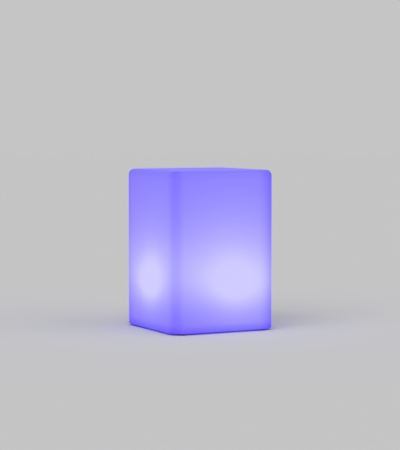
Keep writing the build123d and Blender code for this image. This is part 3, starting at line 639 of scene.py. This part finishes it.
def rows_of_legs(name, chip_x, chip_y, chip_half_width, leg_count):
    """Legs along both sides of a chip, by its middle, half its width and its legs on each side."""
    first_leg = chip_x - leg_step * (leg_count - 1) / 2
    root_place = (first_leg, chip_y - chip_half_width - leg_root_out, leg_level)
    legs = start_block(name, root_place, (leg_width, leg_root, leg_thickness))
    for slide, drop in leg_bends:
        pick_faces(legs, lambda face: face.normal.y < -0.5)
        bpy.ops.mesh.extrude_region_move(TRANSFORM_OT_translate={"value": (0.0, slide, drop)})
        bpy.ops.object.mode_set(mode="OBJECT")
    bpy.ops.object.mode_set(mode="EDIT")
    bpy.ops.mesh.select_all(action="SELECT")
    bpy.ops.mesh.normals_make_consistent(inside=False)
    round_edges(leg_edge, 2)
    repeat(legs, leg_count, (leg_step, 0.0, 0.0))
    copy_across((chip_x, chip_y, leg_level))
    return legs


charger_legs = rows_of_legs(
    "charger_legs", chip_x=-0.009, chip_y=0.003, chip_half_width=0.002, leg_count=3
)
chip_legs = rows_of_legs(
    "chip_legs", chip_x=0.010, chip_y=-0.002, chip_half_width=0.003, leg_count=8
)
charger_legs.select_set(True)
bpy.ops.object.join()
tinned_strip, at = start_material("tinned_strip")
close_material(
    at,
    {
        "Base Color": between(grain(at, 0.6), (0.68, 0.67, 0.64), (0.56, 0.55, 0.53)),
        "Metallic": 1.0,
        "Roughness": 0.3 + 0.15 * grain(at, 0.4),
    },
)
chip_legs.data.materials.append(tinned_strip)
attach(chip_legs, "lamp")

# The switch under the board is a black case with a pressed steel cover plate towards the button.
# Its black nylon stem stands on the button and slides up into the case.
plate_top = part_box("push_switch")[0].z * 1000.0 + 0.3
switch_case, at = start_material("switch_case")
z = millimetres(at)[2]
plate = 1.0 - rise(z, plate_top, plate_top + 0.04)
close_material(
    at,
    {
        "Base Color": between(plate, (0.025, 0.025, 0.026), (0.60, 0.60, 0.60)),
        "Metallic": plate,
        "Roughness": 0.42 + 0.15 * grain(at, 0.6),
        "Normal": relief(grain(at, 0.3), 0.02),
    },
)
dress(switch_case, "push_switch")

black_nylon, at = start_material("black_nylon")
close_material(
    at,
    {
        "Base Color": between(grain(at, 1.0), (0.022, 0.022, 0.023), (0.034, 0.034, 0.035)),
        "Roughness": 0.4 + 0.2 * grain(at, 0.5),
        "Normal": relief(grain(at, 0.25), 0.02),
    },
)
dress(black_nylon, "switch_plunger", "charge_tongue")

# The charging socket is a shell folded from nickel-plated steel, with its seam along one side.
# Its black tongue carries two rows of gold-plated contacts, stamped and moulded in flush.
port_x = 12.0
seam_half, seam_edge, seam_side = 0.05, 0.07, 1.2
plated_shell, at = start_material("plated_shell")
x, y, z = millimetres(at)
seam = inside(y, 0.0, seam_half, seam_edge)
seam = seam * rise(x, port_x + seam_side, port_x + seam_side + 0.2)
close_material(
    at,
    {
        "Base Color": between(seam, (0.66, 0.65, 0.62), (0.20, 0.20, 0.19)),
        "Metallic": 1.0,
        "Roughness": 0.26 + 0.14 * grain(at, 0.9),
        "Normal": relief(1.0 - seam, 0.08),
    },
)
dress(plated_shell, "charge_socket")

contact_step, contact_count, contact_edge = 0.0005, 12, 0.00001
contact_thickness, contact_width, contact_length = 0.00008, 0.00024, 0.0028
contact_tip, face_inset, face_rise = 0.0004, 0.00004, 0.00003
tongue_low, tongue_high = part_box("charge_tongue")
tongue_x, tongue_y = (tongue_low.x + tongue_high.x) / 2, (tongue_low.y + tongue_high.y) / 2
first_contact = tongue_y - contact_step * (contact_count - 1) / 2
contact_level = tongue_low.z + contact_tip + contact_length / 2
socket_contacts = start_block(
    "socket_contacts",
    (tongue_high.x, first_contact, contact_level),
    (contact_thickness, contact_width, contact_length),
)
pick_faces(socket_contacts, lambda face: face.normal.x > 0.5)
bpy.ops.mesh.inset(thickness=face_inset, depth=0.0)
bpy.ops.transform.translate(value=(face_rise, 0.0, 0.0))
round_edges(contact_edge, 2)
repeat(socket_contacts, contact_count, (0.0, contact_step, 0.0))
copy_across((tongue_x, tongue_y, contact_level))
gold_plate, at = start_material("gold_plate")
close_material(
    at,
    {
        "Base Color": between(grain(at, 0.8), (0.78, 0.56, 0.22), (0.70, 0.48, 0.18)),
        "Metallic": 1.0,
        "Roughness": 0.2 + 0.12 * grain(at, 0.5),
    },
)
socket_contacts.data.materials.append(gold_plate)
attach(socket_contacts, "lamp")

# A small light under the board shows charging, through a clear pin that ends flush in the cover.
# The light is a cream ceramic case; the pin is polished acrylic with a faint haze of handling.
solder_start = 0.7
charge_case, at = start_material("charge_case")
x, y, z = millimetres(at)
solder = rise(abs(x), solder_start, solder_start + 0.05)
close_material(
    at,
    {
        "Base Color": between(solder, (0.78, 0.76, 0.66), (0.66, 0.65, 0.62)),
        "Metallic": solder,
        "Roughness": 0.3 + 0.2 * grain(at, 0.4),
    },
)
dress(charge_case, "charge_led")

clear_pin, at = start_material("clear_pin")
handled = grain(at, 0.9)
close_material(
    at,
    {
        "Base Color": (0.80, 0.83, 0.86),
        "Roughness": 0.12 + 0.12 * rise(handled, 0.5, 0.8),
        "IOR": 1.49,
        "Transmission Weight": 0.35,
    },
)
dress(clear_pin, "charge_light_pipe")

# The bottom cover closes the lamp with four screws and holds the button, port and charging pin.
# It is moulded in the housing's white plastic, faintly ringed by its tool and rubbed at its edge.
rubbed_start, rubbed_end = 37.5, 39.5
scuff_angle, scuff_stretch = 0.6, 0.3
tool_ring_rate = 2.6
cover_moulding, at = start_material("cover_moulding")
x, y, z = millimetres(at)
radius = reach(x, y)
spark = grain(at, 0.5, 2.0)
tool_rings = (tool_ring_rate * radius).math("SINE")
drawn = {"Rotation": (0.0, 0.0, scuff_angle), "Scale": (scuff_stretch, 1.0, 1.0)}
smear = at.node("Mapping", sockets={"Vector": at, **drawn})
scuffs = rise(grain(smear, 0.9, 3.0), 0.64, 0.8)
rubbed = rise(radius, rubbed_start, rubbed_end) * rise(grain(at, 4.0), 0.35, 0.65)
plain_white = between(grain(at, 12.0), (0.79, 0.79, 0.78), (0.74, 0.74, 0.735))
close_material(
    at,
    {
        "Base Color": between(0.3 * scuffs + 0.4 * rubbed, plain_white, (0.60, 0.60, 0.61)),
        "Roughness": 0.46 + 0.12 * spark - 0.1 * scuffs,
        "Specular IOR Level": 0.4,
        "Normal": relief(spark + 0.15 * tool_rings, 0.04),
    },
)
dress(cover_moulding, "base_cover")

# The push button is a satin grey cap with a dished face, kept in the cover by its flange.
# Its face is polished by fingers in the middle, and a raised ring with a stroke marks it.
button_x = -15.0
touched_start, touched_end = 1.5, 5.0
button_cap, at = start_material("button_cap")
x, y, z = millimetres(at)
touched = 1.0 - rise(reach(x - button_x, y), touched_start, touched_end)
fine = grain(at, 0.4, 2.0)
close_material(
    at,
    {
        "Base Color": between(touched, (0.40, 0.40, 0.42), (0.36, 0.36, 0.38)),
        "Roughness": 0.44 + 0.12 * fine - 0.14 * touched,
        "Normal": relief(fine, 0.02),
    },
)
dress(button_cap, "power_button")

mark_radius, mark_width, mark_rise = 0.0022, 0.00042, 0.00038
ring_gap = math.radians(37.0)
stroke_length, stroke_out, stroke_rise, stroke_edge = 0.0019, 0.0018, 0.00002, 0.00012
button_low, button_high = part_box("power_button")
mark_x, mark_y = (button_low.x + button_high.x) / 2, (button_low.y + button_high.y) / 2
mark_level = button_low.z + mark_rise


def in_ring_gap(face):
    """Whether a face of the ring lies in the gap that the stroke passes."""
    turn = math.atan2(face.center.x - mark_x, face.center.y - mark_y)
    return abs(turn) < ring_gap


bpy.ops.object.select_all(action="DESELECT")
bpy.ops.mesh.primitive_torus_add(
    location=(mark_x, mark_y, mark_level),
    major_radius=mark_radius,
    minor_radius=mark_width / 2,
    major_segments=72,
    minor_segments=12,
)
button_mark = bpy.context.object
button_mark.name = "button_mark"
bpy.ops.object.transform_apply(location=True, rotation=True, scale=True)
pick_faces(button_mark, in_ring_gap)
bpy.ops.mesh.delete(type="FACE")
bpy.ops.mesh.select_mode(type="EDGE")
bpy.ops.mesh.select_non_manifold()
bpy.ops.mesh.fill_holes(sides=0)
bpy.ops.mesh.select_all(action="SELECT")
bpy.ops.mesh.normals_make_consistent(inside=False)
bpy.ops.object.mode_set(mode="OBJECT")
stroke_place = (mark_x, mark_y + stroke_out, mark_level + stroke_rise)
start_block("mark_stroke", stroke_place, (mark_width, stroke_length, mark_width))
round_edges(stroke_edge, 3)
button_mark.select_set(True)
bpy.context.view_layer.objects.active = button_mark
bpy.ops.object.join()
bpy.ops.object.shade_smooth_by_angle(angle=crease_angle)
mark_white, at = start_material("mark_white")
close_material(
    at,
    {
        "Base Color": between(grain(at, 0.8), (0.78, 0.78, 0.78), (0.68, 0.68, 0.69)),
        "Roughness": 0.38 + 0.15 * grain(at, 0.5),
    },
)
button_mark.data.materials.append(mark_white)
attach(button_mark, "power_button")

# The flap over the charging port is soft grey silicone on two moulded stubs, with a low plug inside.
# Three small ribs near its free end, moulded in one with it, give a fingernail some hold.
flap_silicone, at = start_material("flap_silicone")
mottle = grain(at, 2.2)
close_material(
    at,
    {
        "Base Color": between(mottle, (0.34, 0.34, 0.36), (0.41, 0.41, 0.42)),
        "Roughness": 0.62 + 0.22 * mottle,
        "Specular IOR Level": 0.3,
        "Normal": relief(grain(at, 0.35, 1.0), 0.04),
    },
)
dress(flap_silicone, "port_flap")

rib_length, rib_width, rib_height, rib_edge = 0.0048, 0.0006, 0.0005, 0.00018
rib_count, rib_step, rib_inset, rib_drop = 3, 0.0013, 0.0021, 0.00005
flap_low, flap_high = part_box("port_flap")
flap_x = (flap_low.x + flap_high.x) / 2
rib_place = (flap_x, flap_low.y + rib_inset, flap_low.z - rib_drop)
flap_ribs = start_block("flap_ribs", rib_place, (rib_length, rib_width, rib_height))
round_edges(rib_edge, 3)
repeat(flap_ribs, rib_count, (0.0, rib_step, 0.0))
bpy.ops.object.shade_smooth_by_angle(angle=crease_angle)
flap_ribs.data.materials.append(flap_silicone)
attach(flap_ribs, "port_flap")

# All screws are cross-headed stainless steel, cold headed and then rolled, so the thread is bright.
# Four long ones hold the module in the shade, and smaller ones the boards and the battery's clamp.
coarse_pitch, fine_pitch = 0.8, 0.5


def steel_screws(name, head_low, head_high, pitch):
    """Bright steel with a rolled thread outside the levels of the head, in millimetres."""
    material, at = start_material(name)
    z = millimetres(at)[2]
    head_middle, head_half = (head_low + head_high) / 2, (head_high - head_low) / 2
    shank = rise(abs(z - head_middle), head_half, head_half + 0.3)
    thread = (2.0 * math.pi / pitch * z).math("SINE") * shank
    brushed = grain(at, 0.5, 3.0)
    close_material(
        at,
        {
            "Base Color": between(brushed, (0.64, 0.64, 0.64), (0.52, 0.52, 0.53)),
            "Metallic": 1.0,
            "Roughness": 0.24 + 0.16 * brushed,
            "Normal": relief(thread + 0.05 * brushed, 0.12),
        },
    )
    return material


base_steel = steel_screws("base_screw_steel", head_low=2.3, head_high=4.0, pitch=fine_pitch)
board_steel = steel_screws("board_screw_steel", head_low=11.9, head_high=13.5, pitch=coarse_pitch)
clamp_steel = steel_screws("clamp_screw_steel", head_low=26.24, head_high=27.84, pitch=coarse_pitch)
light_steel = steel_screws("light_screw_steel", head_low=38.94, head_high=40.54, pitch=coarse_pitch)
dress(base_steel, "base_screws")
dress(board_steel, "board_screws")
dress(clamp_steel, "clamp_screws")
dress(light_steel, "led_screws")

# The studio is plain: a pale floor, one broad soft key light from the front left, a weaker one
# from the right and an even sky. The camera stands low and to the left, well back, as for a portrait.
floor_grey, backdrop_grey = (0.60, 0.60, 0.605), (0.56, 0.56, 0.565)
floor_radius, sky_strength, light_spread = 8.0, 0.45, 60.0
bpy.ops.object.select_all(action="DESELECT")
bpy.ops.mesh.primitive_circle_add(
    vertices=96, radius=floor_radius, fill_type="NGON", location=(0, 0, 0)
)
floor = bpy.context.object
floor.name = "studio_floor"
pale_floor, at = start_material("pale_floor")
close_material(at, {"Base Color": floor_grey, "Roughness": 0.9, "Specular IOR Level": 0.0})
floor.data.materials.append(pale_floor)

world = bpy.data.worlds.new("studio_sky")
bpy.context.scene.world = world
world.use_nodes = True
world.node_tree.nodes.clear()
sky = Wire(world.node_tree)
ray_kinds = ("Is Camera Ray", "Is Glossy Ray", "Is Transmission Ray")
seen, mirrored, through = sky.node("LightPath", out=ray_kinds)
shown = seen.math("MAXIMUM", mirrored).math("MAXIMUM", through)
even_light = sky.node("Background", sockets={"Color": (1.0, 1.0, 1.0), "Strength": sky_strength})
backdrop = sky.node("Background", sockets={"Color": backdrop_grey, "Strength": 1.0})
mixed = sky.node("MixShader", sockets={0: shown, 1: even_light, 2: backdrop})
sky.node("OutputWorld", sockets={"Surface": mixed})


def soft_light(name, strength, height_angle, turn):
    """Broad soft light from afar, by its height above the floor and its turn about the lamp."""
    light = bpy.data.lights.new(name, "SUN")
    light.energy = strength
    light.angle = math.radians(light_spread)
    holder = bpy.data.objects.new(name, light)
    bpy.context.scene.collection.objects.link(holder)
    holder.rotation_euler = (math.radians(90.0 - height_angle), 0.0, math.radians(turn))


soft_light("key_light", strength=1.5, height_angle=50.0, turn=-55.0)
soft_light("fill_light", strength=0.6, height_angle=35.0, turn=40.0)

camera_turn, camera_rise = math.radians(-27.163), math.radians(4.364)
camera_pan, camera_dip = math.radians(-27.1845), math.radians(3.584)
camera_distance, lamp_middle = 1.4604, 0.07075
camera = bpy.data.cameras.new("front_camera")
camera.lens = 131.9
camera.sensor_width = 36.0
holder = bpy.data.objects.new("front_camera", camera)
bpy.context.scene.collection.objects.link(holder)
camera_reach = camera_distance * math.cos(camera_rise)
camera_height = lamp_middle + camera_distance * math.sin(camera_rise)
camera_x, camera_y = camera_reach * math.sin(camera_turn), -camera_reach * math.cos(camera_turn)
holder.location = (camera_x, camera_y, camera_height)
holder.rotation_euler = (math.radians(90.0) - camera_dip, 0.0, camera_pan)
bpy.context.scene.camera = holder
bpy.context.scene.view_settings.view_transform = "Standard"
